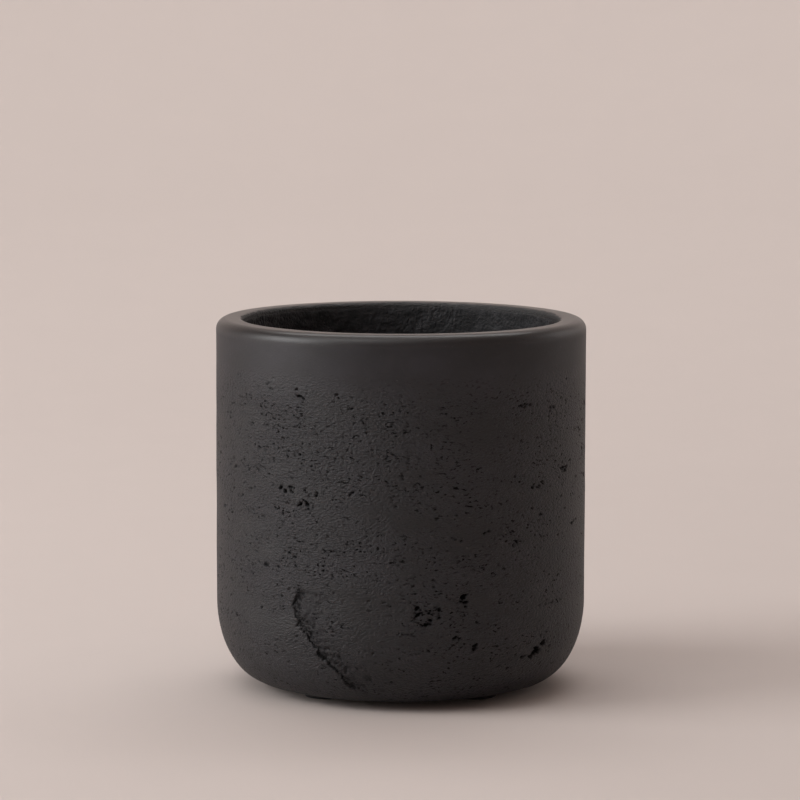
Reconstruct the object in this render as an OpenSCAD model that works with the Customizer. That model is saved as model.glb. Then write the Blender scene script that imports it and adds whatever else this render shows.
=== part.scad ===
// Cast concrete candle jar.
//
// A plain round vessel with a broadly rounded base edge and a flat rim with soft edges. Its
// inside carries a thin film of sealer, and it stands on a ring of self-adhesive foam pads.
// +Z is up, and the origin is on the jar's axis at the level of the pads' undersides.

/* [Concrete jar] */
// Outside diameter of the wall
jar_d = 95; // [75:1:130]
// Height of the casting, from its base face to its rim
jar_h = 93.2; // [60:0.1:140]
// Thickness of the wall
wall_t = 7; // [5:0.5:11]
// Thickness of the floor
floor_t = 9; // [6:0.5:16]

/* [Edges] */
// Width of the rounded base edge, measured across the base
base_edge_w = 12.5; // [8:0.5:18]
// Height of the rounded base edge, measured up the wall
base_edge_h = 20.5; // [8:0.5:24]
// Radius between the inside wall and the floor
well_edge_r = 13; // [4:0.5:16]
// Radius of the rim's outer edge
rim_outer_r = 2.8; // [0.5:0.1:3]
// Width of the rim's rounded inner edge, measured across the rim
rim_inner_w = 1.6; // [0.5:0.1:2]
// Height of the rim's rounded inner edge, measured down the well
rim_inner_h = 1; // [0.5:0.1:3]

/* [Sealer film] */
// Thickness of the dried film
film_t = 0.2; // [0.1:0.05:0.6]

/* [Base pads] */
// Number of pads
pad_count = 4; // [3:1:6]
// Diameter of a pad
pad_d = 12; // [8:0.5:12]
// Thickness of a pad's foam
foam_t = 1.6; // [1:0.1:4]
// Thickness of the adhesive disc between the foam and the base face
adhesive_t = 0.2; // [0.1:0.05:0.5]
// Gap from the edge of the flat base face to the pads
pad_inset = 3; // [1:0.5:4]
// Direction of the first pad, counted from +X
pad_start = 45; // [0:5:90]

/* [Hidden] */
$fn = 96;
big_arc_steps = 24;
rim_arc_steps = 12;

// Levels, from the surface that the pads rest on
base_z = foam_t + adhesive_t;
rim_z = base_z + jar_h;
floor_z = base_z + floor_t;
film_top_z = rim_z - rim_inner_h;

// Radii, from the jar's axis
outer_r = jar_d / 2;
well_r = outer_r - wall_t;
pad_ring_r = outer_r - base_edge_w - pad_inset - pad_d / 2;

// Centre of the rounding between the inside wall and the floor
well_edge_centre = [well_r - well_edge_r, floor_z + well_edge_r];

PAD_NUMBERS = [1:pad_count];

// Points along an arc of an ellipse in the (radius, height) plane, between two angles
function arc(centre, half_size, from, to, steps) =
    [for (i = [0:steps])
        let (a = from + (to - from) * i / steps)
        [centre.x + half_size.x * cos(a), centre.y + half_size.y * sin(a)]];

// The rounding between wall and floor, seen from inside the well, at a depth into the film
function well_edge(depth, from, to) =
    arc(well_edge_centre, [1, 1] * (well_edge_r - depth), from, to, big_arc_steps);

// The casting: one half section, from the base face's centre round the outside, over the
// rim and down the well
module jar_body() {
    base_edge_centre = [outer_r - base_edge_w, base_z + base_edge_h];
    rim_outer_centre = [outer_r - rim_outer_r, rim_z - rim_outer_r];
    rim_inner_centre = [well_r + rim_inner_w, rim_z - rim_inner_h];

    color("dimgray")
        rotate_extrude()
            polygon(concat(
                [[0, base_z]],
                arc(base_edge_centre, [base_edge_w, base_edge_h], -90, 0, big_arc_steps),
                arc(rim_outer_centre, [1, 1] * rim_outer_r, 0, 90, rim_arc_steps),
                arc(rim_inner_centre, [rim_inner_w, rim_inner_h], 90, 180, rim_arc_steps),
                well_edge(0, 0, -90),
                [[0, floor_z]]
            ));
}

// The film: it lies against the whole well, up to where the rim starts to round over
module sealer_lining() {
    film_r = well_r - film_t;

    color("black")
        rotate_extrude()
            polygon(concat(
                [[0, floor_z]],
                well_edge(0, -90, 0),
                [[well_r, film_top_z], [film_r, film_top_z]],
                well_edge(film_t, 0, -90),
                [[0, floor_z + film_t]]
            ));
}

// One layer of pad number n: a disc between two levels under the base face
module pad_disc(n, z, thickness) {
    rotate(pad_start + (n - 1) * 360 / pad_count)
        translate([pad_ring_r, 0, z])
            cylinder(d = pad_d, h = thickness);
}

module foam_pad(n) {
    color("darkslategray") pad_disc(n, 0, foam_t);
}

module pad_adhesive(n) {
    color("wheat") pad_disc(n, foam_t, adhesive_t);
}

jar_body();
sealer_lining();
for (n = PAD_NUMBERS) {
    foam_pad(n);
    pad_adhesive(n);
}
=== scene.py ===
import math

import bpy
import numpy as np
from mathutils import Matrix, Vector


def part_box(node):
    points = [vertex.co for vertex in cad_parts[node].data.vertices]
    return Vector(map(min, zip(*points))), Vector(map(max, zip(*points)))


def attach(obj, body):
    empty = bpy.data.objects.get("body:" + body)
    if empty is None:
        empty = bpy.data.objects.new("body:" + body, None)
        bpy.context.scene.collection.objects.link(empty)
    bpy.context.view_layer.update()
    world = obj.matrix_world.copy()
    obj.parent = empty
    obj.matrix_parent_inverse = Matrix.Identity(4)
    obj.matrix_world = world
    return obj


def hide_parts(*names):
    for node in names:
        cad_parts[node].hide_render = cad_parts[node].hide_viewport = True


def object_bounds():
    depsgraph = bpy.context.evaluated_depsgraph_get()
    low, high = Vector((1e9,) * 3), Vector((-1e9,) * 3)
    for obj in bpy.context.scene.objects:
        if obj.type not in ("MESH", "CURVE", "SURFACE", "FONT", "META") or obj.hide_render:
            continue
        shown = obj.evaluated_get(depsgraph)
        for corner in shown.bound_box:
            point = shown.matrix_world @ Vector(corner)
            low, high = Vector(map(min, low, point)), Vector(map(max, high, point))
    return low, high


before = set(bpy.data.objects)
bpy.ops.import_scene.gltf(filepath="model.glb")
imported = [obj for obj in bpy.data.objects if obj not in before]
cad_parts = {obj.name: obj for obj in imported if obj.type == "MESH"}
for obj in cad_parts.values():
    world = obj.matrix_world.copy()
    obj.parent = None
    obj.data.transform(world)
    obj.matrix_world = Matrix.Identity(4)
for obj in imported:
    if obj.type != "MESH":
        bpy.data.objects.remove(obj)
cad_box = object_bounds()


# ------------------------------------------------------------------ the casting
# The jar itself: black-pigmented concrete, poured into a smooth mould and turned out. Air
# that stayed against the mould left pits, mostly in level bands, and low on one side the
# skin stuck to the mould and flaked away. The rim was rubbed smooth by hand.

MM = 0.001
FULL_TURN = 2 * math.pi

body_low, body_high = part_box("jar_body")
film_low, film_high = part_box("sealer_lining")
outer_r = body_high.x / MM
base_z, rim_z = body_low.z / MM, body_high.z / MM
well_r, floor_z = film_high.x / MM, film_low.z / MM
base_edge_w, base_edge_h = 12.5, 20.5
rim_outer_r, rim_inner_w, rim_inner_h = 2.8, 1.6, 1.0
well_edge_r = 13.0

# Radius of the one small face that closes the middle of the base and of the well's floor
pole_r = 0.6

# The skin is a net of cells. A cell that is too coarse for what lies in it is split in
# four, up to three times, so the net is fine only where the concrete is rough. The rows are
# the heights of the coarsest cells, in mm, and JAR_MISSES says how far a cell of each size
# may miss the surface, in mm, before it is split.
COLUMNS = 192
SPLITS = 3
FINE = 2 ** SPLITS
BASE_ROW, WALL_ROW, RIM_ROW, HIDDEN_ROW = 2.6, 1.54, 0.42, 6.0
JAR_MISSES = (0.045, 0.055, 0.085)


def arc(centre, half_size, start, end):
    """Points on part of an ellipse: centre + half_size * (cos a, sin a), in degrees."""
    def along(t):
        a = np.radians(start + (end - start) * t)
        return np.stack([centre[0] + half_size[0] * np.cos(a),
                         centre[1] + half_size[1] * np.sin(a)], axis=1)
    return along


def line(start, end):
    """Points on a straight line: start + (end - start) * t."""
    def along(t):
        return np.array(start) + np.outer(t, np.subtract(end, start))
    return along


def travelled(section):
    """Distance along a half section from its start."""
    steps = np.hypot(*np.diff(section, axis=0).T)
    return np.concatenate([[0], np.cumsum(steps)])


def outline(stretches):
    """A half section as (radius, height) points, one for each fine row of the net.

    Each stretch is a curve and the length of its coarse rows. Its own length over that,
    rounded up, is its number of coarse rows, and each of those has FINE fine rows.
    """
    points = [stretches[0][0](np.zeros(1))]
    for curve, row in stretches:
        length = travelled(curve(np.linspace(0, 1, 50)))[-1]
        rows = math.ceil(length / row) * FINE
        points.append(curve(np.arange(1, rows + 1) / rows))
    return np.concatenate(points)


def outward(section):
    """Unit normals of a half section: its direction of travel turned a quarter right."""
    step = np.gradient(section, axis=0)
    normal = np.stack([step[:, 1], -step[:, 0]], axis=1)
    return normal / np.linalg.norm(normal, axis=1, keepdims=True)


def turned(section, heights, centre=(0, 0)):
    """Points of a skin: the half section turned round an upright axis, each point moved out
    by its height along the section's normal. It starts at the front, -Y, and goes to +X."""
    turn = np.arange(heights.shape[1]) * FULL_TURN / heights.shape[1]
    normal = outward(section)
    radius = section[:, :1] + normal[:, :1] * heights
    level = section[:, 1:] + normal[:, 1:] * heights
    return np.stack([centre[0] + radius * np.sin(turn), centre[1] - radius * np.cos(turn), level],
                    axis=2) * MM


def smooth(t):
    """Eases from 0 to 1: 3 t^2 - 2 t^3, with t held between 0 and 1."""
    t = np.clip(t, 0, 1)
    return t * t * (3 - 2 * t)


def cloud(section, columns, cell, seed):
    """Smooth noise between -1 and 1 on a net that closes on itself.

    Random heights on a lattice of cell = (across, up) millimetres are joined with smooth().
    """
    up = travelled(section) / cell[1]
    across = max(4, round(FULL_TURN * section[:, 0].max() / cell[0]))
    heights = np.random.default_rng(seed).uniform(-1, 1, (math.ceil(up[-1]) + 2, across))
    x = np.arange(columns) * across / columns
    left, low = np.floor(x).astype(int), np.floor(up).astype(int)
    tx, ty = smooth(x - left), smooth(up - low)[:, None]
    right = (left + 1) % across
    near = heights[low][:, left] * (1 - tx) + heights[low][:, right] * tx
    far = heights[low + 1][:, left] * (1 - tx) + heights[low + 1][:, right] * tx
    return near * (1 - ty) + far * ty


casting = outline([
    (line((pole_r, base_z), (outer_r - base_edge_w, base_z)), BASE_ROW),
    (arc((outer_r - base_edge_w, base_z + base_edge_h), (base_edge_w, base_edge_h), -90, 0), WALL_ROW),
    (line((outer_r, base_z + base_edge_h), (outer_r, rim_z - rim_outer_r)), WALL_ROW),
    (arc((outer_r - rim_outer_r, rim_z - rim_outer_r), (rim_outer_r, rim_outer_r), 0, 90), RIM_ROW),
    (line((outer_r - rim_outer_r, rim_z), (well_r + rim_inner_w, rim_z)), RIM_ROW),
    (arc((well_r + rim_inner_w, rim_z - rim_inner_h), (rim_inner_w, rim_inner_h), 90, 180), RIM_ROW),
    (line((well_r, rim_z - rim_inner_h), (well_r, floor_z + well_edge_r)), HIDDEN_ROW),
    (arc((well_r - well_edge_r, floor_z + well_edge_r), (well_edge_r, well_edge_r), 0, -90), HIDDEN_ROW),
    (line((well_r - well_edge_r, floor_z), (pole_r, floor_z)), HIDDEN_ROW),
])
columns = COLUMNS * FINE
along = travelled(casting)
rim_row = np.argmax(casting[:, 1] > rim_z - rim_outer_r + 1e-6)
film_row = len(casting) - np.argmax(casting[::-1, 1] > rim_z - rim_inner_h + 1e-6)


def casting_cloud(cell, seed):
    """Smooth noise over the casting's whole net."""
    return cloud(casting, columns, cell, seed)


def level_of(height):
    """Distance along the half section of a height on the outside, base edge included."""
    return np.interp(height, casting[:rim_row, 1], along[:rim_row])


# Where small pits lie close together, as (degrees from the front, height, half spread in
# degrees, half spread in height)
PITTED_AREAS = [
    (-36, 62, 18, 13), (-62, 58, 16, 14), (-40, 38, 14, 6), (-66, 24, 16, 12), (47, 70, 15, 8),
    (60, 53, 14, 6), (26, 41, 20, 6), (-4, 66, 16, 8), (4, 30, 18, 9), (76, 62, 8, 16),
    (112, 60, 26, 12), (150, 34, 22, 9), (176, 66, 24, 11), (214, 48, 24, 14), (248, 70, 18, 8),
    (262, 36, 20, 12),
]

# Larger air pits, as (degrees from the front, height, spread across, spread up, largest
# pit's half width, number of pits)
AIR_POCKETS = [
    (-31, 79, 1.8, 1.6, 0.5, 8), (-19, 80, 0.8, 0.6, 0.45, 3), (-15, 77, 1.0, 0.5, 0.4, 3),
    (-5, 78, 0.6, 0.6, 0.4, 3), (-43, 81, 1.0, 1.2, 0.35, 4), (-57, 83, 1.5, 2.0, 0.3, 5),
    (-35, 56, 2.6, 0.6, 0.55, 9), (-31, 52, 1.2, 0.6, 0.6, 4), (-25, 55, 2.0, 0.6, 0.35, 5),
    (-14, 56, 0.8, 0.5, 0.45, 3), (-70, 48, 1.2, 0.7, 0.4, 4), (-53, 49, 1.6, 0.6, 0.4, 5),
    (5, 27, 0.8, 1.8, 0.6, 6), (8, 24, 1.8, 0.9, 0.65, 8), (10, 27, 1.6, 0.8, 0.45, 6),
    (19, 30, 0.7, 0.6, 0.9, 2), (20, 28, 0.8, 0.6, 0.6, 2), (15, 30, 1.2, 0.4, 0.4, 3),
    (17, 20, 1.2, 0.5, 0.5, 4), (24, 23, 0.6, 0.4, 0.45, 2), (23, 17, 0.8, 0.7, 0.55, 3),
    (46, 14, 1.0, 0.8, 1.25, 2), (50, 16, 1.0, 0.7, 0.8, 3), (41, 13, 1.6, 0.3, 0.45, 4),
    (53, 14, 0.6, 1.2, 0.35, 4), (46, 57, 2.4, 1.0, 0.5, 7), (61, 60, 3.0, 1.2, 0.5, 7),
    (47, 49, 0.6, 0.4, 0.45, 2), (67, 45, 1.0, 0.4, 0.45, 3), (26, 46, 1.4, 0.4, 0.4, 4),
    (33, 45, 1.2, 0.5, 0.4, 3), (39, 43, 2.2, 1.0, 0.45, 8), (52, 26, 5.0, 0.4, 0.3, 10),
    (80, 74, 0.8, 0.6, 0.7, 2), (79, 56, 0.8, 0.6, 0.6, 2), (40, 77, 2.2, 0.7, 0.45, 6),
    (53, 75, 2.2, 1.4, 0.4, 8),
]
BACK_POCKETS = 26
SMALL_PITS = 1500
PIT_EDGE, PIT_WALL, PIT_REACH = 1.12, 0.55, 1.7

# Height of the band under the rim that was pressed smooth, which pits fade in below
PRESSED_BAND = 9


def small_pits(rng):
    """Small pits, gathered in level bands in the pitted areas, and almost none under the
    rim: rows of turn, level, half width, half height, tilt, depth.

    Each place's chance grows with the areas it lies in, and the SMALL_PITS best are kept.
    """
    tries = 60000
    turn = rng.uniform(-180, 180, tries)
    height = rng.uniform(base_z + 1.5, rim_z - 3.5, tries)
    crowd = np.zeros(tries)
    for degrees, level, wide, tall in PITTED_AREAS:
        away = (turn - degrees + 180) % 360 - 180
        crowd += np.exp(-(away / wide) ** 2 - ((height - level) / tall) ** 2)
    row = np.searchsorted(along, level_of(height)).clip(0, len(along) - 1)
    column = (turn / 360 * columns).astype(int) % columns
    bands = (casting_cloud((22, 2.6), 3) + 0.7 * casting_cloud((7, 1.6), 4))[row, column]
    chance = (0.05 + crowd) * (0.15 + smooth((bands + 0.6) / 1.6))
    chance *= 0.03 + 0.97 * smooth((rim_z - PRESSED_BAND - height) / PRESSED_BAND)
    best = np.argsort(rng.uniform(0, 1, tries) ** (1 / chance))[-SMALL_PITS:]
    size = 0.15 + 0.17 * rng.uniform(0, 1, SMALL_PITS) ** 2
    return np.stack([
        np.radians(turn[best]), level_of(height[best]), size * rng.uniform(1.0, 2.0, SMALL_PITS),
        size * rng.uniform(0.65, 1.0, SMALL_PITS), rng.normal(-0.15, 0.35, SMALL_PITS),
        size * rng.uniform(0.8, 1.4, SMALL_PITS),
    ], axis=1)


def air_pits(rng):
    """The larger air pits. Each pocket is a group of pits spread round its centre, the
    first ones the largest, in rows as small_pits gives."""
    behind = np.stack([
        rng.uniform(95, 265, BACK_POCKETS), rng.uniform(8, rim_z - 14, BACK_POCKETS),
        rng.uniform(0.6, 3.2, BACK_POCKETS), rng.uniform(0.4, 1.6, BACK_POCKETS),
        rng.uniform(0.35, 0.9, BACK_POCKETS), rng.integers(2, 10, BACK_POCKETS),
    ], axis=1)
    groups = []
    for degrees, height, spread, rise, largest, count in [*AIR_POCKETS, *behind]:
        count = int(count)
        turn = np.radians(degrees) + rng.normal(0, 0.6, count) * spread / outer_r
        level = level_of(height + rng.normal(0, 0.6, count) * rise)
        size = largest * (1 - 0.6 * np.arange(count) / count)
        groups.append(np.stack([
            turn, level, size * rng.uniform(0.9, 1.6, count), size * rng.uniform(0.55, 0.9, count),
            rng.normal(0, 0.5, count), size * rng.uniform(0.9, 1.3, count),
        ], axis=1))
    return np.concatenate(groups)


def sink_pits(heights, pits):
    """Presses each pit into the net of heights.

    A pit is an ellipse, and a fine cloud makes the distance from its middle ragged. Its
    floor lies at its depth as far as PIT_EDGE - PIT_WALL of the way to the ellipse, and its
    wall rises from there to the surface at PIT_EDGE.
    """
    ragged = 0.55 * casting_cloud((0.9, 0.6), 21) + 0.35 * casting_cloud((0.45, 0.4), 22)
    pitch = FULL_TURN / columns
    for turn, level, half_w, half_h, tilt, depth in pits:
        reach = PIT_REACH * max(half_w, half_h)
        low, high = np.searchsorted(along, [level - reach, level + reach])
        radius = max(1.0, np.interp(level, along, casting[:, 0]))
        side = math.ceil(reach / (radius * pitch))
        here = round(turn / pitch) + np.arange(-side, side + 1)
        dx = (here * pitch - turn)[None, :] * radius
        dy = (along[low:high] - level)[:, None]
        x = (dx * math.cos(tilt) + dy * math.sin(tilt)) / half_w
        y = (dy * math.cos(tilt) - dx * math.sin(tilt)) / half_h
        spot = np.ix_(np.arange(low, high), here % columns)
        away = np.hypot(x, y) + ragged[spot]
        heights[spot] = np.minimum(heights[spot], -depth * smooth((PIT_EDGE - away) / PIT_WALL))


# The flaked patch: its left edge, from the foot up, as (degrees from the front, height)
FLAKE_EDGE = [(-14, 4), (-17, 7), (-23, 13), (-29, 18), (-33, 23), (-34.5, 27), (-32.5, 31)]
FLAKE_TOP = 31.0
FLAKE_WIDTH = 26.0
FLAKE_FOOT, FOOT_FADE = 3.0, 5
FLAKE_STEP, LIP_WIDTH, TOP_LIP_WIDTH = 0.2, 0.3, 0.4
CRUMB_DEPTH = 0.1
TORN_DEPTH, TORN_WIDTH = 0.34, 5.0

# How far the wall and the rim stray from true, in mm
WALL_WAVE, WALL_RIPPLE, RIM_WAVE = 0.07, 0.03, 0.035
MOST_PROUD = 0.1


def flake_edge(height):
    """How far round from the front the patch's left edge is at a height, in mm."""
    edge_turn, edge_height = np.array(FLAKE_EDGE, float).T
    return np.radians(np.interp(height, edge_height, edge_turn)) * outer_r


def flaked_share():
    """How flaked each point is, from 0 to 1, and how far in from the left edge it is. The
    edge is broken on the left and along the top, and fades out to the right and the foot."""
    height = np.where(np.arange(len(along)) < rim_row, casting[:, 1], rim_z)
    wander = 1.1 * casting_cloud((5, 4), 31) + 0.8 * casting_cloud((1.8, 1.4), 32)
    wander = wander + 0.5 * casting_cloud((0.7, 0.6), 33)
    across = ((np.arange(columns) / columns + 0.5) % 1 - 0.5) * FULL_TURN * outer_r
    inside = across[None, :] - flake_edge(height)[:, None] + wander
    below_top = FLAKE_TOP + 0.4 * wander - height[:, None]
    edge = smooth(inside / LIP_WIDTH) * smooth(below_top / TOP_LIP_WIDTH)
    fade = smooth(1.15 - inside / FLAKE_WIDTH)
    fade = fade * smooth((height[:, None] - FLAKE_FOOT) / FOOT_FADE)
    return edge * fade, np.clip(inside, 0, None)


def torn_hollows(flaked, inside):
    """Ragged hollows behind the patch's left edge: close together at the edge and thinning
    out over TORN_WIDTH, where a grainy cloud passes a level that rises with the distance."""
    grains = 0.6 * casting_cloud((1.1, 0.9), 36) + 0.4 * casting_cloud((0.55, 0.5), 37)
    near = np.exp(-inside / TORN_WIDTH)
    deep = smooth((grains + 0.45 * near - 0.38) / 0.3)
    return -TORN_DEPTH * deep * near ** 0.5 * smooth((flaked - 0.1) / 0.5)


rng = np.random.default_rng(11)
pits = np.zeros((len(along), columns))
sink_pits(pits, np.concatenate([small_pits(rng), air_pits(rng)]))
flaked, inside = flaked_share()
pits = np.minimum(pits, torn_hollows(flaked, inside))
crumbled = 0.55 * casting_cloud((1.5, 1.1), 34) + 0.45 * casting_cloud((0.7, 0.55), 35)
step = FLAKE_STEP * (0.35 + 0.65 * np.exp(-inside / TORN_WIDTH))
relief = pits + flaked * (CRUMB_DEPTH * crumbled - step)
relief += WALL_WAVE * casting_cloud((26, 14), 41) + WALL_RIPPLE * casting_cloud((9, 5), 42)
relief = np.minimum(relief, MOST_PROUD)
relief[rim_row:] = 0
rim_rows = slice(rim_row, film_row)
rim_share = np.sin(np.linspace(0, math.pi, film_row - rim_row)) ** 0.5
relief[rim_rows] = RIM_WAVE * casting_cloud((24, 4), 43)[rim_rows] * rim_share[:, None]


def too_coarse(heights, cell, limit):
    """Which cells of a size miss the heights by more than a limit, if drawn flat between
    their four corners."""
    rows, wide = (heights.shape[0] - 1) // cell, heights.shape[1] // cell
    ringed = np.concatenate([heights, heights[:, :1]], axis=1)
    corner = ringed[::cell, ::cell]
    worst = np.zeros((rows, wide))
    for i in range(cell + 1):
        for j in range(cell + 1):
            low = corner[:-1, :-1] * (1 - j / cell) + corner[:-1, 1:] * (j / cell)
            high = corner[1:, :-1] * (1 - j / cell) + corner[1:, 1:] * (j / cell)
            flat = low * (1 - i / cell) + high * (i / cell)
            there = ringed[i:i + (rows - 1) * cell + 1:cell, j:j + (wide - 1) * cell + 1:cell]
            worst = np.maximum(worst, np.abs(there - flat))
    return worst > limit


def halved(cells):
    """Marks each cell that holds a marked cell of half its size."""
    rows, wide = cells.shape
    return cells.reshape(rows // 2, 2, wide // 2, 2).any(axis=(1, 3))


def doubled(cells):
    """Marks the four cells of half the size in each marked cell."""
    return cells.repeat(2, axis=0).repeat(2, axis=1)


def widened(cells):
    """Marks the neighbours of each marked cell too, round the ring and up and down."""
    wide = cells | np.roll(cells, 1, 1) | np.roll(cells, -1, 1)
    tall = wide.copy()
    tall[1:] |= wide[:-1]
    tall[:-1] |= wide[1:]
    return tall


def cells_of(heights, limits):
    """The net's cells as (size, rows, columns). limits are the misses in mm above which
    cells of each size split, and neighbours differ by one split at most."""
    split = [too_coarse(heights, FINE >> n, limits[n]) for n in range(SPLITS)]
    for n in range(SPLITS - 1, 0, -1):
        split[n - 1] |= halved(widened(split[n]))
    alive = np.ones(split[0].shape, bool)
    cells = []
    for n in range(SPLITS):
        row, column = np.nonzero(alive & ~split[n])
        cells.append((FINE >> n, row * (FINE >> n), column * (FINE >> n)))
        alive = doubled(alive & split[n])
    return [*cells, (1, *np.nonzero(alive))]


def net_faces(heights, limits):
    """Faces of the net as arrays of points, one array for each shape of face.

    A whole cell gains a corner in the middle of each side that a smaller neighbour splits,
    and the first and the last row are each closed with one face.
    """
    rows, wide = heights.shape
    cells = cells_of(heights, limits)
    used = np.zeros(rows * wide, bool)
    for cell, row, column in cells:
        for dr, dc in ((0, 0), (0, cell), (cell, cell), (cell, 0)):
            used[(row + dr) * wide + (column + dc) % wide] = True
    faces = []
    for cell, row, column in cells:
        half = cell // 2
        ring = ((0, 0), (0, half), (0, cell), (half, cell),
                (cell, cell), (cell, half), (cell, 0), (half, 0))
        loop = np.stack([(row + dr) * wide + (column + dc) % wide for dr, dc in ring], axis=1)
        keep = used[loop] & (half > 0)
        keep[:, ::2] = True
        for kind in np.unique(keep, axis=0):
            faces.append(loop[(keep == kind).all(axis=1)][:, kind])
    foot, head = np.nonzero(used[:wide])[0], np.nonzero(used[-wide:])[0]
    return [*faces, foot[::-1][None, :], (head + (rows - 1) * wide)[None, :]]


def mesh_piece(name, points, faces, tags):
    """A smooth mesh object from points, arrays of faces, and a value of each named tag at
    each point. Points that no face uses are left out."""
    used, corners = np.unique(np.concatenate([f.ravel() for f in faces]), return_inverse=True)
    sizes = np.concatenate([np.full(len(f), f.shape[1]) for f in faces])
    mesh = bpy.data.meshes.new(name)
    mesh.vertices.add(len(used))
    mesh.vertices.foreach_set("co", points.reshape(-1, 3)[used].ravel())
    mesh.loops.add(len(corners))
    mesh.loops.foreach_set("vertex_index", corners.ravel())
    mesh.polygons.add(len(sizes))
    mesh.polygons.foreach_set("loop_start", np.cumsum(sizes) - sizes)
    mesh.update(calc_edges=True)
    mesh.validate()
    mesh.polygons.foreach_set("use_smooth", np.ones(len(sizes), bool))
    for tag, values in tags.items():
        layer = mesh.attributes.new(tag, "FLOAT", "POINT")
        layer.data.foreach_set("value", values.ravel()[used].astype(np.float32))
    piece = bpy.data.objects.new(name, mesh)
    bpy.context.scene.collection.objects.link(piece)
    return piece


# Three tags tell the material where it is: how deep in a pit, up to the depth where the pit's
# painted shade is full, how flaked, and how near the flaked patch's torn edge.
FULL_SHADE_DEPTH = 0.5
tags = {
    "pit": np.clip(-pits / FULL_SHADE_DEPTH, 0, 1),
    "flaked": flaked,
    "torn": flaked * np.exp(-inside / TORN_WIDTH),
}
jar = mesh_piece("cast_concrete_jar", turned(casting, relief), net_faces(relief, JAR_MISSES), tags)


def linear(hex_colour):
    """An sRGB hex colour as linear red, green, blue and 1."""
    channels = [int(hex_colour[i:i + 2], 16) / 255 for i in (1, 3, 5)]
    return [c / 12.92 if c <= 0.04045 else ((c + 0.055) / 1.055) ** 2.4 for c in channels] + [1.0]


def add(tree, kind, settings=None, out=None, **inputs):
    """Adds a node and gives its output, the first one that is in use unless out names it.
    settings are the node's properties. An input is named, or numbered as n0, n1 and so on,
    and is a number, a list, a hex colour or another node's output."""
    node = tree.nodes.new(kind)
    for key, value in (settings or {}).items():
        setattr(node, key, value)
    for key, value in inputs.items():
        socket = node.inputs[int(key[1:]) if key[1:].isdigit() else key.replace("_", " ")]
        if isinstance(value, bpy.types.NodeSocket):
            tree.links.new(value, socket)
        else:
            socket.default_value = linear(value) if isinstance(value, str) else value
    return node.outputs[out] if out else next(socket for socket in node.outputs if socket.enabled)


def every(size):
    """The scale of a pattern whose largest cells are this many millimetres wide."""
    return 1 / (size * MM)


def new_material(name, roughness, ior=1.5):
    """A material with only a Principled surface, and its node tree and surface node."""
    material = bpy.data.materials.new(name)
    material.use_nodes = True
    tree = material.node_tree
    surface = tree.nodes["Principled BSDF"]
    surface.inputs["Roughness"].default_value = roughness
    surface.inputs["IOR"].default_value = ior
    return material, tree, surface


# Black-pigmented concrete, cast against a smooth mould: dull and near black, with a faint
# level cloudiness, a fine grain, dash-like pores, a few pale sand grains with painted glints,
# and a rim that rubbing has polished. The skin just under the rim was pressed smooth. A pit or
# a pore swallows its own shine, and its paste was never pressed; the shade that falls in it is
# painted into its colour, near black.
# The grain's layers are 0.8, 0.4 and 0.2 mm wide, as its sand is, and the pores are drawn a
# little wider than the finest real ones, so that they show.
LEVEL_STRETCH = 1.8    # how many times as wide as high each pattern is
WORN_FROM, WORN_TO = 3.5, 0.5    # depths below the rim where rubbing starts and is complete
STRIP_FADE, STRIP_END = 1.5, 1.9    # where the sealed strip fades and ends, from the well
STRIP_WANDER = 2    # the most that its edge comes in from there
MIX = {"data_type": "RGBA"}
TIMES = {"operation": "MULTIPLY"}
TIMES_PLUS = {"operation": "MULTIPLY_ADD"}
LARGER = {"operation": "MAXIMUM"}
material, tree, surface = new_material("black_pigmented_cast_concrete", roughness=0.55)
place = add(tree, "ShaderNodeTexCoord", out="Object")
height = add(tree, "ShaderNodeSeparateXYZ", Vector=place, out="Z")
pit = add(tree, "ShaderNodeAttribute", {"attribute_name": "pit"}, out="Fac")
flaked_skin = add(tree, "ShaderNodeAttribute", {"attribute_name": "flaked"}, out="Fac")
torn = add(tree, "ShaderNodeAttribute", {"attribute_name": "torn"}, out="Fac")
level_place = add(tree, "ShaderNodeMapping", n3=(1, 1, LEVEL_STRETCH), Vector=place)
blotch = add(tree, "ShaderNodeTexNoise", Vector=level_place, Scale=every(16.67), Detail=4.0, Roughness=0.6)
band = add(tree, "ShaderNodeTexNoise", Vector=level_place, Scale=every(5.26), Detail=2.0, Roughness=0.6)
pore = add(tree, "ShaderNodeTexNoise", Vector=level_place, Scale=every(1.0), Detail=1.0, Roughness=0.5)
grain = add(tree, "ShaderNodeTexNoise", Vector=level_place, Scale=every(0.8), Detail=2.0, Roughness=0.65)

# Pores: in level bands, where the cloudiness crowds them, and none just under the rim. The
# torn edge has its own, coarser ones. Further down their shade is painted into the colour, and
# the torn edge's ones paint the shade along that edge.
under_rim = add(tree, "ShaderNodeMapRange", Value=height,
                n1=(rim_z - PRESSED_BAND) * MM, n2=(rim_z - 2 * PRESSED_BAND) * MM)
crowded = add(tree, "ShaderNodeMapRange", Value=blotch, n1=0.38, n2=0.50)
banded = add(tree, "ShaderNodeMapRange", Value=band, n1=0.42, n2=0.56, n3=0.2)
pores = add(tree, "ShaderNodeMapRange", Value=pore, n1=0.585, n2=0.68)
pores = add(tree, "ShaderNodeMath", TIMES, n0=pores, n1=banded)
room = add(tree, "ShaderNodeMath", TIMES, n0=crowded, n1=under_rim)
pores = add(tree, "ShaderNodeMath", TIMES, n0=pores, n1=room)
grit = add(tree, "ShaderNodeMath", TIMES_PLUS, n0=torn, n1=0.12, n2=grain)
grit = add(tree, "ShaderNodeMapRange", Value=grit, n1=0.53, n2=0.63)
grit = add(tree, "ShaderNodeMath", TIMES, n0=grit, n1=torn)
pores = add(tree, "ShaderNodeMath", LARGER, n0=pores, n1=grit)
hollow = add(tree, "ShaderNodeMath", LARGER, n0=pores, n1=pit)
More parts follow.
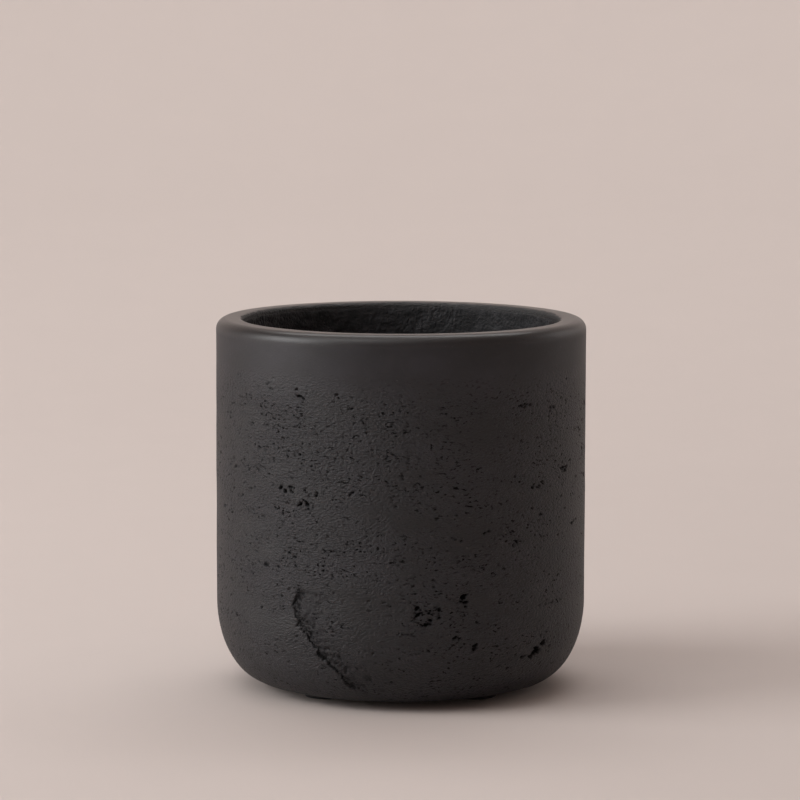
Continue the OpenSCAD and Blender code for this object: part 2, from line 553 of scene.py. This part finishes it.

# Colour: two near blacks in clouds, painted shade in the fine grain's low spots, paler sand
# grains with painted glints on the grain's high spots, and a little warmer and greyer where
# the rim is rubbed
tone = add(tree, "ShaderNodeMapRange", Value=blotch, n1=0.35, n2=0.65)
colour = add(tree, "ShaderNodeMix", MIX, n0=tone, n6="#151519", n7="#222127")
# Painted shade: the fine grain's low spots are painted darker, none just under the rim
grain_shade = add(tree, "ShaderNodeMapRange", Value=grain, n1=0.58, n2=0.36, n4=0.55)
grain_shade = add(tree, "ShaderNodeMath", TIMES, n0=grain_shade, n1=under_rim)
colour = add(tree, "ShaderNodeMix", MIX, n0=grain_shade, n6=colour, n7="#0d0d0e")
# Pale sand grains with a painted glint: the grain's highest spots are painted light
speck_glint = add(tree, "ShaderNodeMapRange", Value=grain, n1=0.70, n2=0.78)
colour = add(tree, "ShaderNodeMix", MIX, n0=speck_glint, n6=colour, n7="#4d4946")
worn = add(tree, "ShaderNodeMapRange", Value=height,
           n1=(rim_z - WORN_FROM) * MM, n2=(rim_z - WORN_TO) * MM)
colour = add(tree, "ShaderNodeMix", MIX, n0=worn, n6=colour, n7="#232121")

# The sealer's brush also wetted a narrow, uneven strip round the rim's inner edge
flat_place = add(tree, "ShaderNodeMapping", n3=(1, 1, 0), Vector=place)
from_axis = add(tree, "ShaderNodeVectorMath", {"operation": "LENGTH"}, out="Value", n0=flat_place)
from_axis = add(tree, "ShaderNodeMath", TIMES_PLUS, n0=band, n1=STRIP_WANDER * MM, n2=from_axis)
sealed = add(tree, "ShaderNodeMapRange", Value=from_axis,
             n1=(well_r + STRIP_END) * MM, n2=(well_r + STRIP_FADE) * MM)
sealed = add(tree, "ShaderNodeMath", TIMES, n0=sealed, n1=worn)
colour = add(tree, "ShaderNodeMix", MIX, n0=sealed, n6=colour, n7="#1d1d1e")
# Painted shade: pits, the deeper ones darker, and pores are painted near black
colour = add(tree, "ShaderNodeMix", MIX, n0=hollow, n6=colour, n7="#0b0b0b")
tree.links.new(colour, surface.inputs["Base Color"])
shine = add(tree, "ShaderNodeMapRange", Value=hollow, n3=0.52, n4=0.05)
tree.links.new(shine, surface.inputs["Specular IOR Level"])
polish = add(tree, "ShaderNodeMapRange", Value=worn, n3=0.55, n4=0.3)
polish = add(tree, "ShaderNodeMix", n0=sealed, n2=polish, n3=0.65)
tree.links.new(polish, surface.inputs["Roughness"])

# Bump: the grain with the pores sunk in it, faint on the smooth skin and full where the skin
# is flaked, crowded with pores or sealed
sunk = add(tree, "ShaderNodeMath", TIMES_PLUS, n0=pores, n1=-0.35, n2=grain)
coarse = add(tree, "ShaderNodeMapRange", Value=crowded, n3=0.55)
coarse = add(tree, "ShaderNodeMath", TIMES, n0=under_rim, n1=coarse)
coarse = add(tree, "ShaderNodeMath", LARGER, n0=flaked_skin, n1=coarse)
coarse = add(tree, "ShaderNodeMath", LARGER, n0=coarse, n1=sealed)
strength = add(tree, "ShaderNodeMapRange", Value=coarse, n3=0.08, n4=1.0)
bump = add(tree, "ShaderNodeBump", Strength=strength, Distance=0.6 * MM, Height=sunk)
tree.links.new(bump, surface.inputs["Normal"])
jar.data.materials.append(material)
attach(jar, "root")
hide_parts("jar_body")


# ------------------------------------------------------------ the sealer lining
# Acrylic sealer, brushed on the inside in two coats so that wax and oil stay out of the
# concrete. It follows the rough inside, which no mould pressed smooth, and it stops in an
# uneven brushed line just under the rim.

film_t, film_gap = 0.2, 0.02
FILM_EDGE_ROW = 0.2
FILM_MISSES = (0.065, 0.085, 0.13)
LUMP_HEIGHT, CREASE_DEPTH = 0.22, 0.2
film_top_z = film_high.z / MM
film_edge = film_t / 2
edge_r, edge_z = well_r - well_edge_r, floor_z + well_edge_r
BRUSHED_LINE, SAG_HEIGHT = 0.9, 6

film = outline([
    (line((pole_r, floor_z + film_gap), (edge_r, floor_z + film_gap)), HIDDEN_ROW),
    (arc((edge_r, edge_z), [well_edge_r - film_gap] * 2, -90, 0), HIDDEN_ROW),
    (line((well_r - film_gap, edge_z), (well_r - film_gap, film_top_z - film_edge)), HIDDEN_ROW),
    (arc((well_r - film_edge, film_top_z - film_edge), (film_edge - film_gap, film_edge), 0, 90),
     FILM_EDGE_ROW),
    (arc((well_r - film_edge, film_top_z - film_edge), (film_edge, film_edge), 90, 180), FILM_EDGE_ROW),
    (line((well_r - film_t, film_top_z - film_edge), (well_r - film_t, edge_z)), WALL_ROW),
    (arc((edge_r, edge_z), [well_edge_r - film_t] * 2, 0, -90), WALL_ROW),
    (line((edge_r, floor_z + film_t), (pole_r, floor_z + film_t)), BASE_ROW),
])
past_top = travelled(film) - travelled(film)[np.argmax(film[:, 1])]
lumps = 0.55 * cloud(film, columns, (1.9, 1.5), 51) + 0.45 * cloud(film, columns, (1.0, 0.9), 52)
creases = (1 - np.abs(cloud(film, columns, (2.6, 1.9), 53))) ** 4
film_relief = np.maximum(film_t / 2 + LUMP_HEIGHT * lumps - CREASE_DEPTH * creases, -film_t / 2)
film_relief *= smooth(past_top / 0.8)[:, None]

# The film's top edge wanders down by up to BRUSHED_LINE, and SAG_HEIGHT below it follows
film_points = turned(film, film_relief)
sag = smooth((film[:, 1] - film_top_z + SAG_HEIGHT) / SAG_HEIGHT)[:, None]
brushed = 0.5 + 0.35 * cloud(film, columns, (9, 400), 54)[0]
brushed += 0.15 * cloud(film, columns, (2, 400), 55)[0]
film_points[:, :, 2] -= BRUSHED_LINE * brushed * sag * MM
lining = mesh_piece("brushed_sealer_lining", film_points, net_faces(film_relief, FILM_MISSES), {})

# Dried acrylic sealer over dark, rough concrete: it wets the concrete darker and gives it a
# low sheen, broken up by lumps, with small bright points where it pooled. Its specular level
# is low, because the finest hollows, too fine for the mesh, hide most of its shine.
material, tree, surface = new_material("brushed_acrylic_sealer", roughness=0.55, ior=1.49)
place = add(tree, "ShaderNodeTexCoord", out="Object")
cover = add(tree, "ShaderNodeTexNoise", Vector=place, Scale=every(3.85), Detail=4.0, Roughness=0.6)
grit = add(tree, "ShaderNodeTexNoise", Vector=place, Scale=every(0.833), Detail=2.0, Roughness=0.6)
tone = add(tree, "ShaderNodeMapRange", Value=cover, n1=0.3, n2=0.7)
colour = add(tree, "ShaderNodeMix", MIX, n0=tone, n6="#262627", n7="#38383a")
tree.links.new(colour, surface.inputs["Base Color"])
gloss = add(tree, "ShaderNodeMapRange", Value=cover, n1=0.3, n2=0.7, n3=0.65, n4=0.45)
tree.links.new(gloss, surface.inputs["Roughness"])
surface.inputs["Specular IOR Level"].default_value = 0.12
bump = add(tree, "ShaderNodeBump", Strength=1.0, Distance=0.7 * MM, Height=grit)
tree.links.new(bump, surface.inputs["Normal"])
lining.data.materials.append(material)
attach(lining, "root")
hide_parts("sealer_lining")


# ----------------------------------------------------------------- the foam pads
# Four discs of dense closed-cell foam that the jar stands on, so that it neither scratches a
# table nor slides. They are punched from a sheet, which draws their sides in a little.

PADS = 4
PAD_COLUMNS = 32 * FINE
PAD_ROW = 0.8
PAD_MISSES = (0.012, 0.016, 0.02)
DENT_DEPTH = 0.07
pad_pole_r, pad_crown, pad_top_edge, pad_waist = 0.25, 0.25, 0.1, 0.12
pad_low, pad_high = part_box("foam_pad_1")
pad_r, pad_h = (pad_high.x - pad_low.x) / 2 / MM, pad_high.z / MM


def waisted(radius, low, high, depth):
    """Points up a side that draws in halfway: radius - depth * sin(pi t)."""
    def along(t):
        return np.stack([radius - depth * np.sin(math.pi * t), low + (high - low) * t], axis=1)
    return along


pad = outline([
    (line((pad_pole_r, 0), (pad_r - pad_crown, 0)), PAD_ROW),
    (arc((pad_r - pad_crown, pad_crown), (pad_crown, pad_crown), -90, 0), PAD_ROW / 4),
    (waisted(pad_r, pad_crown, pad_h - pad_top_edge, pad_waist), PAD_ROW / 2),
    (arc((pad_r - pad_top_edge, pad_h - pad_top_edge), (pad_top_edge, pad_top_edge), 0, 90), PAD_ROW / 4),
    (line((pad_r - pad_top_edge, pad_h), (pad_pole_r, pad_h)), 2 * PAD_ROW),
])

# Cross-linked polyethylene foam, cut from a sheet: soft, dull and charcoal, with cells of
# about 0.3 mm that show as a fine grain, open where the punch cut them.
foam_material, tree, surface = new_material("cross_linked_foam", roughness=0.85)
place = add(tree, "ShaderNodeTexCoord", out="Object")
foam_cells = add(tree, "ShaderNodeTexVoronoi", Vector=place, Scale=every(0.303), out="Distance")
dust = add(tree, "ShaderNodeTexNoise", Vector=place, Scale=every(2.0), Detail=3.0)
dusty = add(tree, "ShaderNodeMapRange", Value=dust, n1=0.5, n2=0.9)
colour = add(tree, "ShaderNodeMix", MIX, n0=foam_cells, n6="#161617", n7="#2b2b2d")
colour = add(tree, "ShaderNodeMix", MIX, n0=dusty, n6=colour, n7="#3d3c3b")
tree.links.new(colour, surface.inputs["Base Color"])
bump = add(tree, "ShaderNodeBump", Strength=0.6, Distance=0.08 * MM, Height=foam_cells)
tree.links.new(bump, surface.inputs["Normal"])

for n in range(1, PADS + 1):
    low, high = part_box(f"foam_pad_{n}")
    centre = ((low.x + high.x) / 2 / MM, (low.y + high.y) / 2 / MM)
    wide_dents = np.abs(cloud(pad, PAD_COLUMNS, (2.2, 1.6), 60 + n))
    small_dents = np.abs(cloud(pad, PAD_COLUMNS, (0.6, 0.5), 70 + n))
    dents = -DENT_DEPTH * (0.5 * wide_dents + 0.5 * small_dents)
    piece = mesh_piece(f"foam_disc_{n}", turned(pad, dents, centre), net_faces(dents, PAD_MISSES), {})
    piece.data.materials.append(foam_material)
    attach(piece, "root")
    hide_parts(f"foam_pad_{n}")


# ------------------------------------------------------------- the adhesive discs
# Each pad comes with a thin disc of pressure-sensitive acrylic adhesive, which holds it to
# the base. The pad's punch cuts it too, and pressing it on squeezes its edge out unevenly.

GLUE_MISSES = (0.01, 0.012, 0.015)
GLUE_INSET, GLUE_SQUEEZE = 0.08, 0.07
glue_low, glue_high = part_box("pad_adhesive_1")
glue_r, glue_z, glue_t = pad_r - GLUE_INSET, glue_low.z / MM, (glue_high.z - glue_low.z) / MM
glue = outline([
    (line((pad_pole_r, glue_z), (glue_r - glue_t / 2, glue_z)), 3 * PAD_ROW),
    (arc((glue_r - glue_t / 2, glue_z + glue_t / 2), (glue_t / 2, glue_t / 2), -90, 90), PAD_ROW / 8),
    (line((glue_r - glue_t / 2, glue_z + glue_t), (pad_pole_r, glue_z + glue_t)), 3 * PAD_ROW),
])
at_edge = smooth((glue[:, 0] - glue_r + 0.5) / 0.5)[:, None]

# Acrylic adhesive film: straw-coloured and half clear, with a wet-looking edge.
glue_material, tree, surface = new_material("acrylic_adhesive_film", roughness=0.3, ior=1.47)
place = add(tree, "ShaderNodeTexCoord", out="Object")
thickness = add(tree, "ShaderNodeTexNoise", Vector=place, Scale=every(1.43), Detail=3.0)
colour = add(tree, "ShaderNodeMix", MIX, n0=thickness, n6="#a39266", n7="#cdbf98")
tree.links.new(colour, surface.inputs["Base Color"])
bump = add(tree, "ShaderNodeBump", Strength=0.3, Distance=0.05 * MM, Height=thickness)
tree.links.new(bump, surface.inputs["Normal"])

for n in range(1, PADS + 1):
    low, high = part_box(f"pad_adhesive_{n}")
    centre = ((low.x + high.x) / 2 / MM, (low.y + high.y) / 2 / MM)
    squeezed = GLUE_SQUEEZE * cloud(glue, PAD_COLUMNS, (1.7, 40), 80 + n) * at_edge
    piece = mesh_piece(f"adhesive_disc_{n}", turned(glue, squeezed, centre),
                       net_faces(squeezed, GLUE_MISSES), {})
    piece.data.materials.append(glue_material)
    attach(piece, "root")
    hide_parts(f"pad_adhesive_{n}")


# --------------------------------------------------------------- floor and light
# A pale paper sweep that curves up all round, so no edge or horizon shows behind the jar.

SWEEP_FLAT, SWEEP_BEND = 600, 1600
FLAT_ROW, BEND_ROW = 200, 500
SWEEP_COLUMNS = 12 * FINE
sweep = outline([
    (line((1, 0), (SWEEP_FLAT, 0)), FLAT_ROW),
    (arc((SWEEP_FLAT, SWEEP_BEND), (SWEEP_BEND, SWEEP_BEND), -90, 0), BEND_ROW),
])[::-1]
paper = np.zeros((len(sweep), SWEEP_COLUMNS))
floor = mesh_piece("paper_sweep", turned(sweep, paper), net_faces(paper, (1, 1, 1)), {})

# Matt paper, with a very faint mottle of its fibres
material, tree, surface = new_material("pale_matt_paper", roughness=0.9)
place = add(tree, "ShaderNodeTexCoord", out="Object")
fibres = add(tree, "ShaderNodeTexNoise", Vector=place, Scale=every(33.3), Detail=4.0)
colour = add(tree, "ShaderNodeMix", MIX, n0=fibres, n6="#cac0bb", n7="#ccc2bd")
tree.links.new(colour, surface.inputs["Base Color"])
floor.data.materials.append(material)

world = bpy.data.worlds.new("dim_room")
bpy.context.scene.world = world
world.use_nodes = True
world.node_tree.nodes["Background"].inputs["Color"].default_value = linear("#cdbfb6")
world.node_tree.nodes["Background"].inputs["Strength"].default_value = 0.02


def softbox(name, position, target, size, watts):
    """A rectangular area light of size (width, height) in metres, facing a target."""
    light = bpy.data.lights.new(name, "AREA")
    light.shape = "RECTANGLE"
    light.size, light.size_y = size
    light.energy = watts
    lamp = bpy.data.objects.new(name, light)
    facing = (Vector(target) - Vector(position)).to_track_quat("-Z", "Y").to_matrix().to_4x4()
    lamp.matrix_world = Matrix.Translation(position) @ facing
    bpy.context.scene.collection.objects.link(lamp)


softbox("window_left", (-1.19, -0.26, 0.49), (0, 0, 0.05), (0.8, 0.8), 11.8)
softbox("window_high", (-0.72, -0.42, 1.05), (0, 0, 0.05), (0.8, 0.8), 3.1)
softbox("room_front", (-0.30, -0.80, 1.30), (0, 0, 0), (0.8, 0.8), 1.8)
softbox("overhead", (0, 0, 1.5), (0, 0, 0), (1.0, 1.0), 1.9)
softbox("right_glow", (1.09, 0.63, 0.39), (0, 0, 0.05), (0.6, 0.8), 1.1)
softbox("backdrop", (0, 0.9, 1.5), (0, 1.3, 0), (1.8, 0.8), 11.8)


# ------------------------------------------------------------------------ camera
# A long lens a little above the jar, turned slightly down, so that the far rim just shows.

CAMERA_AWAY = 0.95
LENS, SENSOR = 165.4, 36
CAMERA_UP = math.radians(8.466)
CAMERA_PITCH = math.radians(-6.906)
CAMERA_YAW = math.radians(0.015)
CAMERA_ROLL = math.radians(0.127)

lens = bpy.data.cameras.new("camera")
lens.sensor_width = SENSOR
lens.lens = LENS
lens.clip_end = 20
camera = bpy.data.objects.new("camera", lens)
middle = (cad_box[0] + cad_box[1]) / 2
stand = Matrix.Translation((0, middle.y - CAMERA_AWAY * math.cos(CAMERA_UP),
                            middle.z + CAMERA_AWAY * math.sin(CAMERA_UP)))
yaw = Matrix.Rotation(CAMERA_YAW, 4, "Z")
pitch = Matrix.Rotation(math.radians(90) + CAMERA_PITCH, 4, "X")
camera.matrix_world = stand @ yaw @ pitch @ Matrix.Rotation(CAMERA_ROLL, 4, "Z")
bpy.context.scene.collection.objects.link(camera)
bpy.context.scene.camera = camera
bpy.context.scene.view_settings.view_transform = "Standard"
